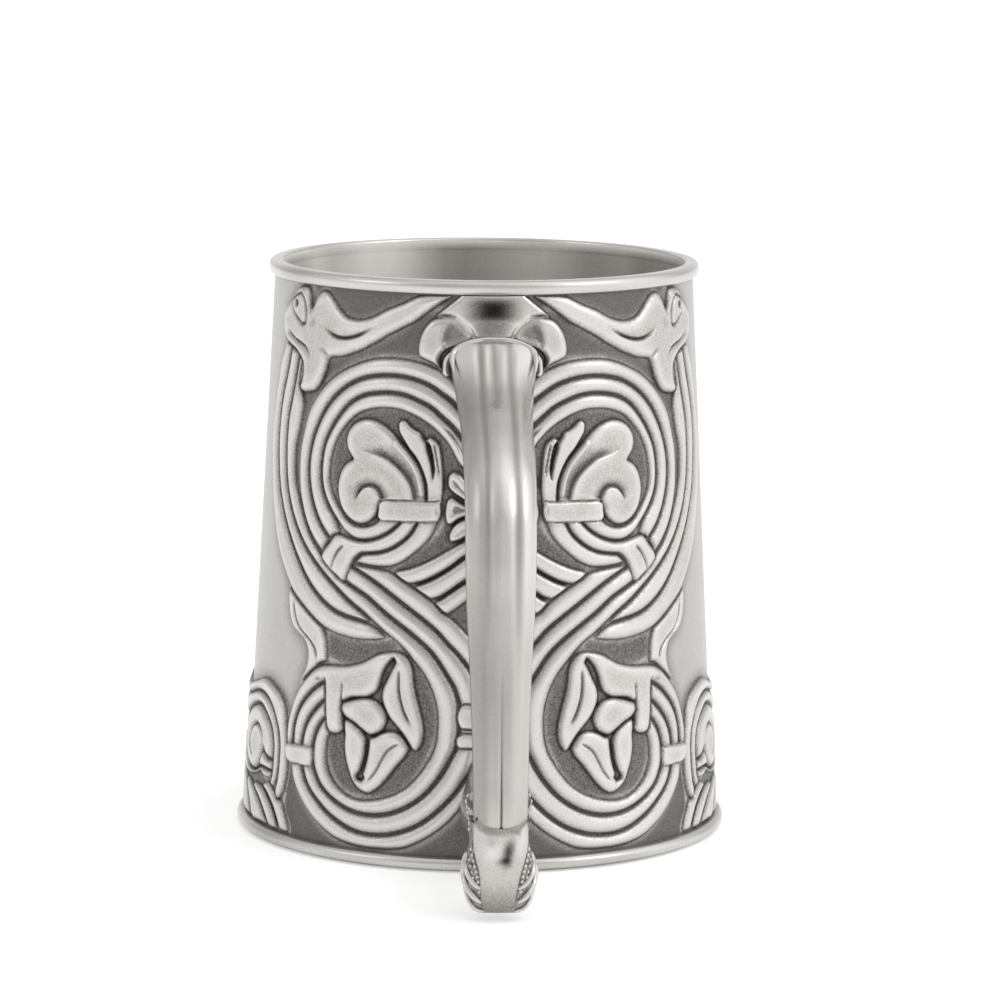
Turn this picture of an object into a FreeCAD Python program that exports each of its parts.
import FreeCAD, Part
import math
import os

# A tankard: a tapered drum with cast relief on its wall, and a hollow handle that springs
# from the rim and ends in a beast's head at the foot.
# The drum stands on z = 0 about the Z axis. The handle is on the -Y side, the front is +Y;
# "right" pieces are on +X and "left" pieces on -X. Millimetres.

os.makedirs("parts", exist_ok=True)
Vector = FreeCAD.Vector

# ---------------------------------------------------------------- driving dimensions
HEIGHT = 116.0            # foot face to top of the lip
FOOT_RADIUS = 48.23       # outside radius of the drum wall, extended to z = 0
TAPER = 0.0517            # radius lost per mm of height
WALL = 1.6                # drum wall thickness
WALL_Z0 = 1.2             # bottom edge of the drum wall, on the foot ring's ledge
WALL_Z1 = 113.5           # top edge of the drum wall, under the lip ring
GAP = 0.02                # solder gap between pieces that lie on one another

LIP_OUT = 43.6            # outside radius of the lip bead
LIP_Z0 = 113.25           # lower edge of the lip bead, outside the wall
FOOT_OUT = 49.9           # outside radius of the foot bead
FOOT_IN = 45.0            # inside radius of the foot ring
FOOT_TOP = 2.7            # top edge of the foot bead
FLOOR_TOP = 6.8           # inside floor level at the wall
FLOOR_DISH = 0.8          # how far the middle of the floor is dished down
FLOOR_T = 1.3             # floor thickness
FLOOR_PLAY = 0.05         # play between the floor and the inside of the wall

DRAW_RADIUS = 45.0        # outlines on the wall give arc length at this radius
PRISM_IN = 26.0           # distances from the axis between which wall prisms run
PRISM_OUT = 60.0

RELIEF = 1.2              # how far the cast relief stands off the wall
GROUND = 0.45             # level of the grooves cut in the relief
GROOVE_HALF = 0.3         # half width of a groove
RELIEF_Z = (2.9, 113.1)   # heights the relief may span
CUTTER_Z = (2.0, 114.0)   # heights the groove cutter spans
CUTTER_OVER = 0.6         # how far the cutter stands above the relief
PANEL_ARC = 27.0          # arc length at the middle of a large panel
SIDE_ARC = math.pi * DRAW_RADIUS / 2.0    # arc length a quarter turn from the handle

HANDLE_T = 1.3            # shell thickness of the hollow handle
HANDLE_SPLIT = 0.46       # share of the handle's depth that the outer half takes
HANDLE_PLAY = 0.12        # clearance round the handle where other pieces meet it
VENT_RADIUS = 0.8         # vent hole, low on the inner half of the handle
VENT_START = (0, -80.0, 27.0)
VENT_LENGTH = 8.0

PLATE_T = 1.7             # outer face of the mount's plate, off the wall
PLATE_Z = (97.0, 113.15)  # heights the plate may span
SLAB_WIDTH = 16           # width in X of blanks drawn in side view

PLUG_INSET = HANDLE_T + 0.35    # plug's inset from the handle's outer surface
PLUG_SIDE = 0.4           # further inset at each side
PLUG_FACE = 0.9           # further inset at the outer and inner faces
PLUG_BASE = (0, -92.9, 14.0)    # lower end of the plug, inside the head


# ---------------------------------------------------------------- helpers
def wall_radius(z):
    return FOOT_RADIUS - TAPER * z


def spin(points):
    """Solid of revolution about Z from (radius, z) points, closed by a last line.

    A four-number item is an arc: (via radius, via z, end radius, end z).
    """
    start = Vector(points[0][0], 0, points[0][1])
    current = start
    edges = []
    for point in points[1:]:
        end = Vector(point[-2], 0, point[-1])
        if len(point) == 4:
            via = Vector(point[0], 0, point[1])
            edges.append(Part.Arc(current, via, end).toShape())
        else:
            edges.append(Part.makeLine(current, end))
        current = end
    edges.append(Part.makeLine(current, start))
    solid = Part.Face(Part.Wire(edges)).revolve(Vector(0, 0, 0), Vector(0, 0, 1), 360)
    if solid.Volume < 0:
        solid.reverse()
    return solid


def cone_shell(low, high, z0, z1):
    """Shell that follows the drum wall, from low to high mm outside it."""
    return spin([(wall_radius(z0) + low, z0), (wall_radius(z0) + high, z0),
                 (wall_radius(z1) + high, z1), (wall_radius(z1) + low, z1)])


def extrude_polygon(points, travel):
    return Part.Face(Part.makePolygon(points + [points[0]])).extrude(travel)


def side_slab(profile):
    """Slab centred on x = 0 from a side view of (distance from the axis toward -Y, z)."""
    slab = extrude_polygon([Vector(0, -radius, z) for radius, z in profile],
                           Vector(SLAB_WIDTH, 0, 0))
    slab.translate(Vector(-SLAB_WIDTH / 2, 0, 0))
    return slab


def extrude_along_y(outline, y_start, travel):
    """Prism along Y from an outline of (x, z) points."""
    return extrude_polygon([Vector(x, y_start, z) for x, z in outline], Vector(0, travel, 0))


def wall_prism(outline, arc_mid):
    """Prism through the wall from (arc, z) points, along the radius at arc_mid."""
    mid_angle = arc_mid / DRAW_RADIUS
    outward = Vector(math.sin(mid_angle), -math.cos(mid_angle), 0)
    across = Vector(math.cos(mid_angle), math.sin(mid_angle), 0)
    points = []
    for arc, z in outline:
        offset = wall_radius(z) * math.sin(arc / DRAW_RADIUS - mid_angle)
        points.append(outward * PRISM_IN + across * offset + Vector(0, 0, z))
    return extrude_polygon(points, outward * (PRISM_OUT - PRISM_IN))


def strip(line, half):
    """Outline of a band of the given half width along a polyline of (arc, z) points."""
    left, right = [], []
    for i, (x, y) in enumerate(line):
        x_before, y_before = line[max(i - 1, 0)]
        x_after, y_after = line[min(i + 1, len(line) - 1)]
        along_x = x_after - x_before
        along_y = y_after - y_before
        length = math.hypot(along_x, along_y)
        shift_x = along_y / length * half
        shift_y = along_x / length * half
        left.append((x - shift_x, y + shift_y))
        right.append((x + shift_x, y - shift_y))
    return left + right[::-1]


def with_mirror(half):
    """Outline closed over the mirror line where the first column is 0."""
    return half + [(-first, second) for first, second in half[::-1] if first]


def mirror_x(shape):
    return shape.mirror(Vector(0, 0, 0), Vector(1, 0, 0))


def half_turn(shape):
    turned = shape.copy()
    turned.rotate(Vector(0, 0, 0), Vector(0, 0, 1), 180)
    return turned


def largest_solid(shape):
    return sorted(shape.Solids, key=lambda solid: solid.Volume)[-1]


def without_crumbs(shape):
    """The solids of a shape above 1 mm3, as one solid or a compound."""
    solids = [solid for solid in shape.Solids if solid.Volume > 1.0]
    if len(solids) == 1:
        return solids[0]
    return Part.makeCompound(solids)


# ---------------------------------------------------------------- drum
def make_drum_wall():
    bottom = wall_radius(WALL_Z0)
    top = wall_radius(WALL_Z1)
    return spin([(bottom, WALL_Z0), (top, WALL_Z1),
                 (top - WALL, WALL_Z1), (bottom - WALL, WALL_Z0)])


def make_lip_ring():
    """Ring on the wall's top edge, with a bead that laps over the outside."""
    outside = wall_radius(WALL_Z1)
    inside = outside - WALL
    return spin([(inside, WALL_Z1), (outside + GAP, WALL_Z1),
                 (wall_radius(LIP_Z0) + GAP, LIP_Z0),
                 (LIP_OUT - 0.5, LIP_Z0 + 0.25),
                 (LIP_OUT, LIP_Z0 + 1.35, LIP_OUT - 1.2, HEIGHT),
                 (inside + 0.5, HEIGHT),
                 (inside + 0.1, HEIGHT - 0.3, inside, HEIGHT - 1.0)])


def make_foot_ring():
    """Ring with a ledge under the wall and a bead round the outside."""
    return spin([(FOOT_IN, 0), (FOOT_OUT - 0.8, 0),
                 (FOOT_OUT, FOOT_TOP / 2, FOOT_OUT - 0.7, FOOT_TOP),
                 (wall_radius(FOOT_TOP) + GAP, FOOT_TOP),
                 (wall_radius(WALL_Z0) + GAP, WALL_Z0),
                 (FOOT_IN, WALL_Z0)])


def make_floor_disc():
    """Dished floor with a skirt that runs down inside the wall."""
    skirt = wall_radius(WALL_Z0) - WALL - FLOOR_PLAY
    rim = wall_radius(FLOOR_TOP) - WALL - FLOOR_PLAY
    centre_z = FLOOR_TOP - FLOOR_DISH
    slope_z = centre_z + FLOOR_DISH * 0.3
    flat_radius = rim * 0.4
    slope_radius = rim * 0.7
    return spin([(0, centre_z), (flat_radius, centre_z), (slope_radius, slope_z),
                 (rim, FLOOR_TOP), (skirt, WALL_Z0), (skirt - FLOOR_T, WALL_Z0),
                 (rim - FLOOR_T, FLOOR_TOP - FLOOR_T - 0.3),
                 (slope_radius, slope_z - FLOOR_T), (flat_radius, centre_z - FLOOR_T),
                 (0, centre_z - FLOOR_T)])


# Everything inside the outer face of the wall, taken off pieces that butt against it.
DRUM_CUT = spin([(0, -5), (wall_radius(-5) + GAP, -5), (wall_radius(125) + GAP, 125), (0, 125)])

# ---------------------------------------------------------------- handle
# Outer surface of the handle, from the rim down:
# (distance from the drum's axis, z, width across, depth behind the surface)
STATIONS = [
    (39.5, 110.6, 12.6, 9.0), (43.6, 107.0, 14.2, 9.2), (48.4, 102.6, 15.0, 9.4),
    (54.8, 97.4, 14.8, 9.6), (64.0, 93.2, 14.3, 9.6), (74.0, 88.7, 13.9, 9.6),
    (81.2, 83.6, 13.6, 9.6), (85.2, 76.8, 13.4, 9.5), (86.9, 68.5, 13.1, 9.4),
    (88.0, 58.6, 12.8, 9.3), (89.3, 48.5, 12.1, 9.2), (90.9, 38.5, 11.4, 9.2),
    (92.2, 28.5, 10.8, 9.2), (93.0, 18.0, 10.2, 9.2),
]


def handle_frames():
    """(point, outward normal, width, depth) at each station."""
    curve = Part.BSplineCurve()
    curve.interpolate([Vector(0, -radius, z) for radius, z, width, depth in STATIONS])
    frames = []
    for radius, z, width, depth in STATIONS:
        point = Vector(0, -radius, z)
        tangent = curve.tangent(curve.parameter(point))[0]
        if tangent.z > 0:
            tangent = tangent * -1
        frames.append((point, Vector(0, tangent.z, -tangent.y), width, depth))
    return frames


FRAMES = handle_frames()


def section_point(frame, across, out):
    """Point in a frame's section, across in X and out along the normal."""
    point, normal = frame[:2]
    return Vector(point.x + across, point.y + out * normal.y, point.z + out * normal.z)


def section_arc(frame, half, edge, middle):
    """Arc across a section from (-half, edge) to (half, edge), through (0, middle)."""
    return Part.Arc(section_point(frame, -half, edge), section_point(frame, 0, middle),
                    section_point(frame, half, edge)).toShape()


def crescent(frame, side):
    """Half a hollow section; side +1 is the outer half, -1 the inner one."""
    width, depth = frame[2:]
    edge = -depth * HANDLE_SPLIT + side * GAP / 2
    middle = 0.0 if side > 0 else -depth
    half = width / 2.0
    bore = half - HANDLE_T
    return Part.Wire([
        section_arc(frame, half, edge, middle),
        Part.makeLine(section_point(frame, half, edge), section_point(frame, bore, edge)),
        section_arc(frame, -bore, edge, middle - side * HANDLE_T),
        Part.makeLine(section_point(frame, -bore, edge), section_point(frame, -half, edge))])


def full_section(frame):
    """The whole handle section, grown by the clearance."""
    width, depth = frame[2:]
    half = width / 2.0 + HANDLE_PLAY
    edge = -depth * HANDLE_SPLIT
    return Part.Wire([section_arc(frame, half, edge, HANDLE_PLAY),
                      section_arc(frame, -half, edge, -depth - HANDLE_PLAY)])


def make_handle_half(side):
    shell = Part.makeLoft([crescent(frame, side) for frame in FRAMES], True, False)
    return largest_solid(shell.cut(DRUM_CUT))


def make_handle_inner_shell():
    vent = Part.makeCylinder(VENT_RADIUS, VENT_LENGTH, Vector(*VENT_START), Vector(0, -1, 0))
    return largest_solid(make_handle_half(-1).cut(vent))


HANDLE_KEEPOUT = Part.makeLoft([full_section(frame) for frame in FRAMES], True, False)

# ---------------------------------------------------------------- mount at the rim
# Half outline of the wings and lobes on the wall: (arc, z)
WING = [(0, 113.0), (2.4, 112.9), (8, 112.4), (10, 111.2), (12.4, 109.8), (10, 109.2),
        (8.2, 108.7), (7.8, 108.2), (9.2, 108.2), (11.6, 108.5), (13.6, 108), (15, 106.8),
        (15.8, 104.8), (16.1, 102.8), (16, 100.6), (15, 99.8), (12.8, 99), (11.2, 98.4),
        (9, 98.2), (6, 97.6), (0, 97.4)]
# Side view of the saddle: (distance from the axis, z)
SADDLE = [(41.0, 113.1), (44.0, 113.1), (44.9, 110.6), (46.3, 107.8), (48.6, 104.6),
          (52.0, 101.0), (50.0, 96.0), (41.0, 96.0)]
# -X half of the saddle seen along Y: (x, z)
NECK = [(-5.6, 113.2), (-8.0, 110.5), (-5.2, 107.5), (-4.0, 104.8), (-5.4, 102.0), (-6.0, 96.0)]


def make_handle_top_mount():
    """Saddle that joins the rim to the top of the handle, on a plate that lies on the wall."""
    plate = cone_shell(GAP, PLATE_T, *PLATE_Z).common(wall_prism(with_mirror(WING), 0.0))
    saddle = side_slab(SADDLE).common(extrude_along_y(with_mirror(NECK), -60, 60))
    mount = plate.fuse(saddle).cut(DRUM_CUT).cut(HANDLE_KEEPOUT)
    return largest_solid(mount.removeSplitter())


# ---------------------------------------------------------------- beast's head at the foot
# Side view: (distance from the axis, z)
HEAD_SIDE = [
    (93.0, 17.9), (92.4, 10.0), (91.4, 4.5), (90.4, 1.9), (89.6, 1.4), (85.6, 1.4), (82.0, 2.8),
    (77.0, 4.6), (70.0, 5.9), (62.0, 6.0), (54.0, 4.6), (49.5, 3.1), (44.0, 3.1),
    (44.0, 22.5), (49.0, 19.4), (54.0, 16.8), (61.0, 15.4), (68.0, 15.6), (74.0, 17.6),
    (79.0, 21.4), (81.2, 22.7), (82.8, 22.7), (83.2, 17.0)]
# Half of the plan: (half width, distance from the axis)
HEAD_PLAN = [(5.4, 44.0), (4.3, 52.0), (3.7, 60.0), (3.9, 67.0), (5.2, 74.0), (6.2, 80.0),
             (6.7, 86.0), (6.2, 90.0), (5.1, 93.2)]
# Half of the view along Y: (half width, z)
HEAD_END = [(5.0, 1.2), (6.1, 3.6), (6.7, 6.5), (6.75, 9.0), (6.2, 12.0), (5.7, 15.0),
            (5.6, 17.0), (6.0, 20.0), (6.1, 24.0)]


def plug_section(frame):
    width, depth = frame[2:]
    half = width / 2.0 - PLUG_INSET - PLUG_SIDE
    outer = -PLUG_INSET - PLUG_FACE
    inner = -depth + PLUG_INSET + PLUG_FACE
    corners = [section_point(frame, across, out) for across, out in
               [(-half, outer), (half, outer), (half, inner), (-half, inner)]]
    return Part.makePolygon(corners + [corners[0]])


def make_handle_tail_head():
    """Head where three outlines meet, with a plug that enters the hollow handle."""
    plan = [Vector(x, -radius, 0) for x, radius in with_mirror(HEAD_PLAN)]
    head = side_slab(HEAD_SIDE)
    head = head.common(extrude_polygon(plan, Vector(0, 0, 30)))
    head = head.common(extrude_along_y(with_mirror(HEAD_END), -100, 70))
    base = (Vector(*PLUG_BASE),) + FRAMES[-1][1:]
    plug = Part.makeLoft([plug_section(frame) for frame in (base, FRAMES[-1], FRAMES[-2])],
                         True, True)
    return largest_solid(head.fuse(plug).cut(DRUM_CUT).removeSplitter())


# Room for the head where it meets the wall.
HEAD_KEEPOUT = extrude_along_y([(-5.8, 2.0), (5.8, 2.0), (5.8, 23.2), (-5.8, 23.2)], -40, -30)

# ---------------------------------------------------------------- relief
# Every relief table holds (arc, z) points, with the arc measured from the handle toward +X.
PANEL_OUTLINE = [
    (0, 22.0), (0.6, 22.0), (2.2, 17.6), (4, 14), (5.6, 11.6), (8, 8.8), (10.4, 6.8), (13.2, 5),
    (16, 3.7), (18.8, 3.1), (21.6, 2.95), (24.8, 2.95), (28, 3.3), (31.2, 4.2), (34, 5.6),
    (36.8, 7.4), (39.2, 9.6), (41.2, 12), (42.6, 14.4), (43.2, 17.2), (44.2, 18), (44.6, 19.6),
    (44.6, 22), (44.8, 24.4), (44.2, 27.2), (43.2, 30), (41.6, 32.8), (40.8, 35.6), (39.8, 37.6),
    (39.6, 40.4), (40.4, 42), (42.4, 43.2), (44.4, 44.4), (45.8, 46.8), (46.4, 49.6), (46.4, 52.5),
    (48, 54.4), (51.2, 58.4), (53.6, 62.8), (55, 68), (56.2, 72), (57.2, 76), (57.6, 80),
    (57.6, 84), (57, 87.2), (56.4, 90.4), (55.6, 93.6), (54.8, 96.8), (53.6, 100), (52.8, 102),
    (53.6, 103.2), (54, 105.2), (53.8, 106.8), (52.4, 108.4), (50.8, 109.6), (49.2, 111.4),
    (47.6, 112.4), (45.6, 112.8), (44, 112.6), (43, 111.6), (42.8, 110), (42.6, 108.6),
    (42.2, 109), (41.2, 110.8), (40, 112), (38.8, 112.3), (37.2, 112), (35.6, 110.8), (34, 109.2),
    (32, 107.8), (30, 107.4), (28, 107.5), (25.6, 108.2), (22.4, 109.8), (19.2, 111), (15, 112.8),
    (12.4, 113.0), (12.9, 110.0), (14, 108.7), (16, 107.2), (18, 106.2), (20, 105.2), (22, 104.2),
    (24, 103), (26, 102), (28, 101), (30, 100.3), (32, 99.6), (34.4, 99.2), (35.8, 99),
    (36.0, 96.6), (35.2, 95.9), (30, 98.5), (24.8, 100), (20, 100.3), (16.6, 100.1), (15.2, 99.5),
    (13, 98.7), (10.8, 98.0), (8.6, 97), (6.6, 95.2), (4, 92.2), (1.5, 88.5), (0, 86.4)]

# Centre lines of the grooves between neighbouring strands
PANEL_GROOVES = [
    [(2, 84.5), (4, 87.8), (6.2, 90.2), (8, 92), (10, 93.4), (12.4, 94.9), (15, 95.9), (20, 96.7),
     (24, 96.5), (28, 95.6), (32, 93.6), (36, 90.2), (38.8, 86.2), (40.5, 82.4), (41.3, 78.6),
     (41.3, 76), (40.8, 73.2), (39.3, 69.3), (37, 65.8), (35.2, 63.9)],
    [(2.4, 78), (4, 81.4), (5.8, 84.4), (8, 87.2), (10, 88.9), (12.4, 90.8), (15, 92), (18, 93),
     (20.8, 93.3), (24, 93.1), (27.2, 92.4), (30, 91), (32.8, 88.4), (35.2, 85.2), (36.8, 82.2),
     (37.5, 78.8), (37.6, 76.8), (36.8, 72.8), (35.2, 70), (32.8, 67.2), (30.8, 65.6), (28, 64.2),
     (25.6, 63.9), (22.8, 64.6), (20, 66.2), (18, 68.0)],
    [(38.0, 93.6), (39.2, 92.4), (42, 88.8), (43.8, 84), (44.7, 80), (44.75, 76), (44.1, 71.6),
     (43, 68.6), (41.4, 65.6), (38.8, 62.4), (37.2, 61.0)],
    [(48.6, 90), (49.6, 86.4), (50, 82.8), (50, 80), (49.6, 76), (48.6, 72), (46.8, 68),
     (44.4, 64.4), (41.4, 61), (38.2, 58.2), (35.2, 56), (32, 53.8), (29, 51.8), (25.6, 49.6),
     (23.2, 47.7), (20.4, 45.6)],
    [(52.4, 91.2), (53.4, 87.2), (53.8, 83.2), (53.8, 80), (53.2, 76), (52.2, 72), (50.6, 68.4),
     (48.4, 64.8), (46, 61.6), (43.2, 58), (40.8, 55.2), (38, 52.8), (35.2, 50.8), (32.8, 49.6),
     (29.6, 48.6), (26.4, 48.1)],
    [(26.4, 57.4), (23.6, 56), (20.8, 54.4), (18, 52), (15.2, 50), (12.4, 48), (9.6, 45.6),
     (6.8, 42.8), (4.4, 40), (2.6, 36.6)],
    [(28.8, 54.8), (27.6, 54), (24.8, 52.4), (22.4, 50.4), (20, 48.4), (17.2, 46), (14.4, 44),
     (11.4, 41.4), (8, 38.4), (6.6, 35.2), (6, 32.4), (5.9, 30), (6, 27), (6.4, 24.2), (7.6, 21.6),
     (8.8, 19.2), (10.4, 16.8), (12.4, 14.4), (14.8, 12.4), (17.2, 11), (20, 10), (22.8, 9.6),
     (25.6, 9.7), (28, 10.2), (30.4, 11.2), (32.8, 12.6), (34.8, 14.4), (36, 16.4)],
    [(4.0, 18.9), (4.8, 17.6), (6.4, 15.2), (8.4, 12.8), (10.8, 10.4), (13.2, 8.6), (16, 7.2),
     (18.8, 6.3), (21.6, 5.9), (24.4, 5.9), (27.2, 6.4), (30, 7.5), (32.8, 9), (35.2, 10.8),
     (37.2, 12.6), (38.8, 14.8), (39.4, 16.6)],
]

# Outlines of the ground between the strands, cut to the groove level
PANEL_POCKETS = [
    [(8.6, 79.6), (9.6, 83.0), (11.0, 85.2), (13.2, 87.4), (16, 89.0), (18.8, 89.7), (22.4, 89.6),
     (25.6, 89.0), (28.4, 87.8), (30.6, 86.0), (31.6, 84.4), (31.2, 82.9), (30.4, 85.4),
     (28.6, 87.4), (25.6, 88.5), (22.8, 88.0), (20.4, 86.9), (19.8, 88.0), (18.6, 88.8),
     (16.6, 88.2), (14.6, 86.6), (13.2, 85.4), (11.2, 85.0), (9.9, 83.0), (9.3, 79.6)],
    [(20.6, 44.9), (24, 43.9), (27.2, 43.8), (30.4, 44.1), (33.2, 44.5), (34.0, 44.3), (33.6, 41.6),
     (33.5, 39.1), (30.4, 39.2), (28, 39.5), (25.6, 40.3), (23.6, 41.6), (21.8, 42.6), (19.6, 43.1),
     (17.6, 43.0), (18.6, 43.9)],
    [(11.4, 32.6), (13.2, 37.0), (14.4, 39.4), (15.2, 40.4), (14.8, 38.0), (13.9, 34.9),
     (12.8, 31.4), (12.0, 28.0), (12.1, 25.8), (12.7, 23.9), (13.8, 22.4), (15.2, 22.4),
     (17.2, 19.8), (18.8, 17.6), (20.2, 15.9), (21.8, 14.0), (23.6, 13.3), (25.4, 13.6),
     (27.2, 15.2), (28.6, 17.6), (29.4, 20.4), (29.7, 23.8), (31.4, 24.3), (32.2, 24.0),
     (32.6, 21.0), (32.2, 18.7), (31.2, 16.5), (29.6, 14.8), (27.8, 13.6), (25.6, 13.0),
     (23.3, 13.2), (21.0, 13.8), (18.7, 14.8), (16.4, 16.3), (14.5, 18.4), (12.9, 20.8),
     (11.7, 23.0), (11.0, 25.5), (10.8, 28), (10.9, 31)],
]

# Half of the low side piece and its grooves; the other half mirrors it about SIDE_ARC
SIDE_OUTLINE = [
    (43.5, 2.95), (44.4, 6), (45.9, 8.9), (45.3, 11.6), (45.0, 15.6), (45.0, 20),
    (45.4, 24), (46.2, 27), (48, 29.6), (50.4, 31.4), (54, 32.4), (58, 31.8), (64, 30.4)]
SIDE_MIDDLE_Z = 29.6      # top of the outline at SIDE_ARC
SIDE_GROOVES = [
    [(48.6, 10.9), (48.2, 13), (47.6, 15), (47.6, 18), (48.2, 22), (49.2, 25), (50.8, 27.2),
     (53.2, 28.9), (56, 29.3), (60, 29)],
    [(50.4, 12.0), (49.8, 15.4), (49.6, 19.6), (50.2, 22.8), (51.8, 25), (54.2, 26.3), (58, 26.6),
     (62, 26)],
    [(56.0, 21.5), (57.6, 21.6), (59.4, 20.8), (61.0, 19.8)],
    [(54.2, 18.0), (55.2, 16.4), (56.8, 15.2), (59, 14.6), (61, 14.6)],
    [(49.4, 3.4), (50.6, 5.4), (52.2, 7.8), (54.6, 9.6)],
    [(54.8, 3.4), (55.6, 5.4), (57.2, 8.0), (59.4, 9.4)],
]


def make_relief(outline, grooves, pockets, arc_mid):
    relief = cone_shell(GAP, RELIEF, *RELIEF_Z).common(wall_prism(outline, arc_mid))
    cutter = cone_shell(GROUND, RELIEF + CUTTER_OVER, *CUTTER_Z)
    for opening in [strip(line, GROOVE_HALF) for line in grooves] + pockets:
        relief = relief.cut(cutter.common(wall_prism(opening, arc_mid)))
    return relief


def across_side(points):
    """Points mirrored about SIDE_ARC, in the same order."""
    return [(2 * SIDE_ARC - arc, z) for arc, z in points]


def make_side_relief():
    outline = SIDE_OUTLINE + [(SIDE_ARC, SIDE_MIDDLE_Z)] + across_side(SIDE_OUTLINE[::-1])
    grooves = []
    for line in SIDE_GROOVES:
        grooves += [line, across_side(line)]
    return make_relief(outline, grooves, [], SIDE_ARC)


panel = make_relief(PANEL_OUTLINE, PANEL_GROOVES, PANEL_POCKETS, PANEL_ARC)
handle_panel = panel.cut(HANDLE_KEEPOUT).cut(HEAD_KEEPOUT)
side_relief = make_side_relief()

# ---------------------------------------------------------------- export
PARTS = {
    "drum_wall": make_drum_wall(),
    "lip_ring": make_lip_ring(),
    "foot_ring": make_foot_ring(),
    "floor_disc": make_floor_disc(),
    "relief_handle_left": without_crumbs(mirror_x(handle_panel)),
    "relief_handle_right": without_crumbs(handle_panel),
    "relief_front_left": without_crumbs(half_turn(panel)),
    "relief_front_right": without_crumbs(half_turn(mirror_x(panel))),
    "relief_side_left": without_crumbs(mirror_x(side_relief)),
    "relief_side_right": without_crumbs(side_relief),
    "handle_spine": make_handle_half(1),
    "handle_inner_shell": make_handle_inner_shell(),
    "handle_top_mount": make_handle_top_mount(),
    "handle_tail_head": make_handle_tail_head(),
}
for name, shape in PARTS.items():
    shape.exportStep("parts/" + name + ".step")
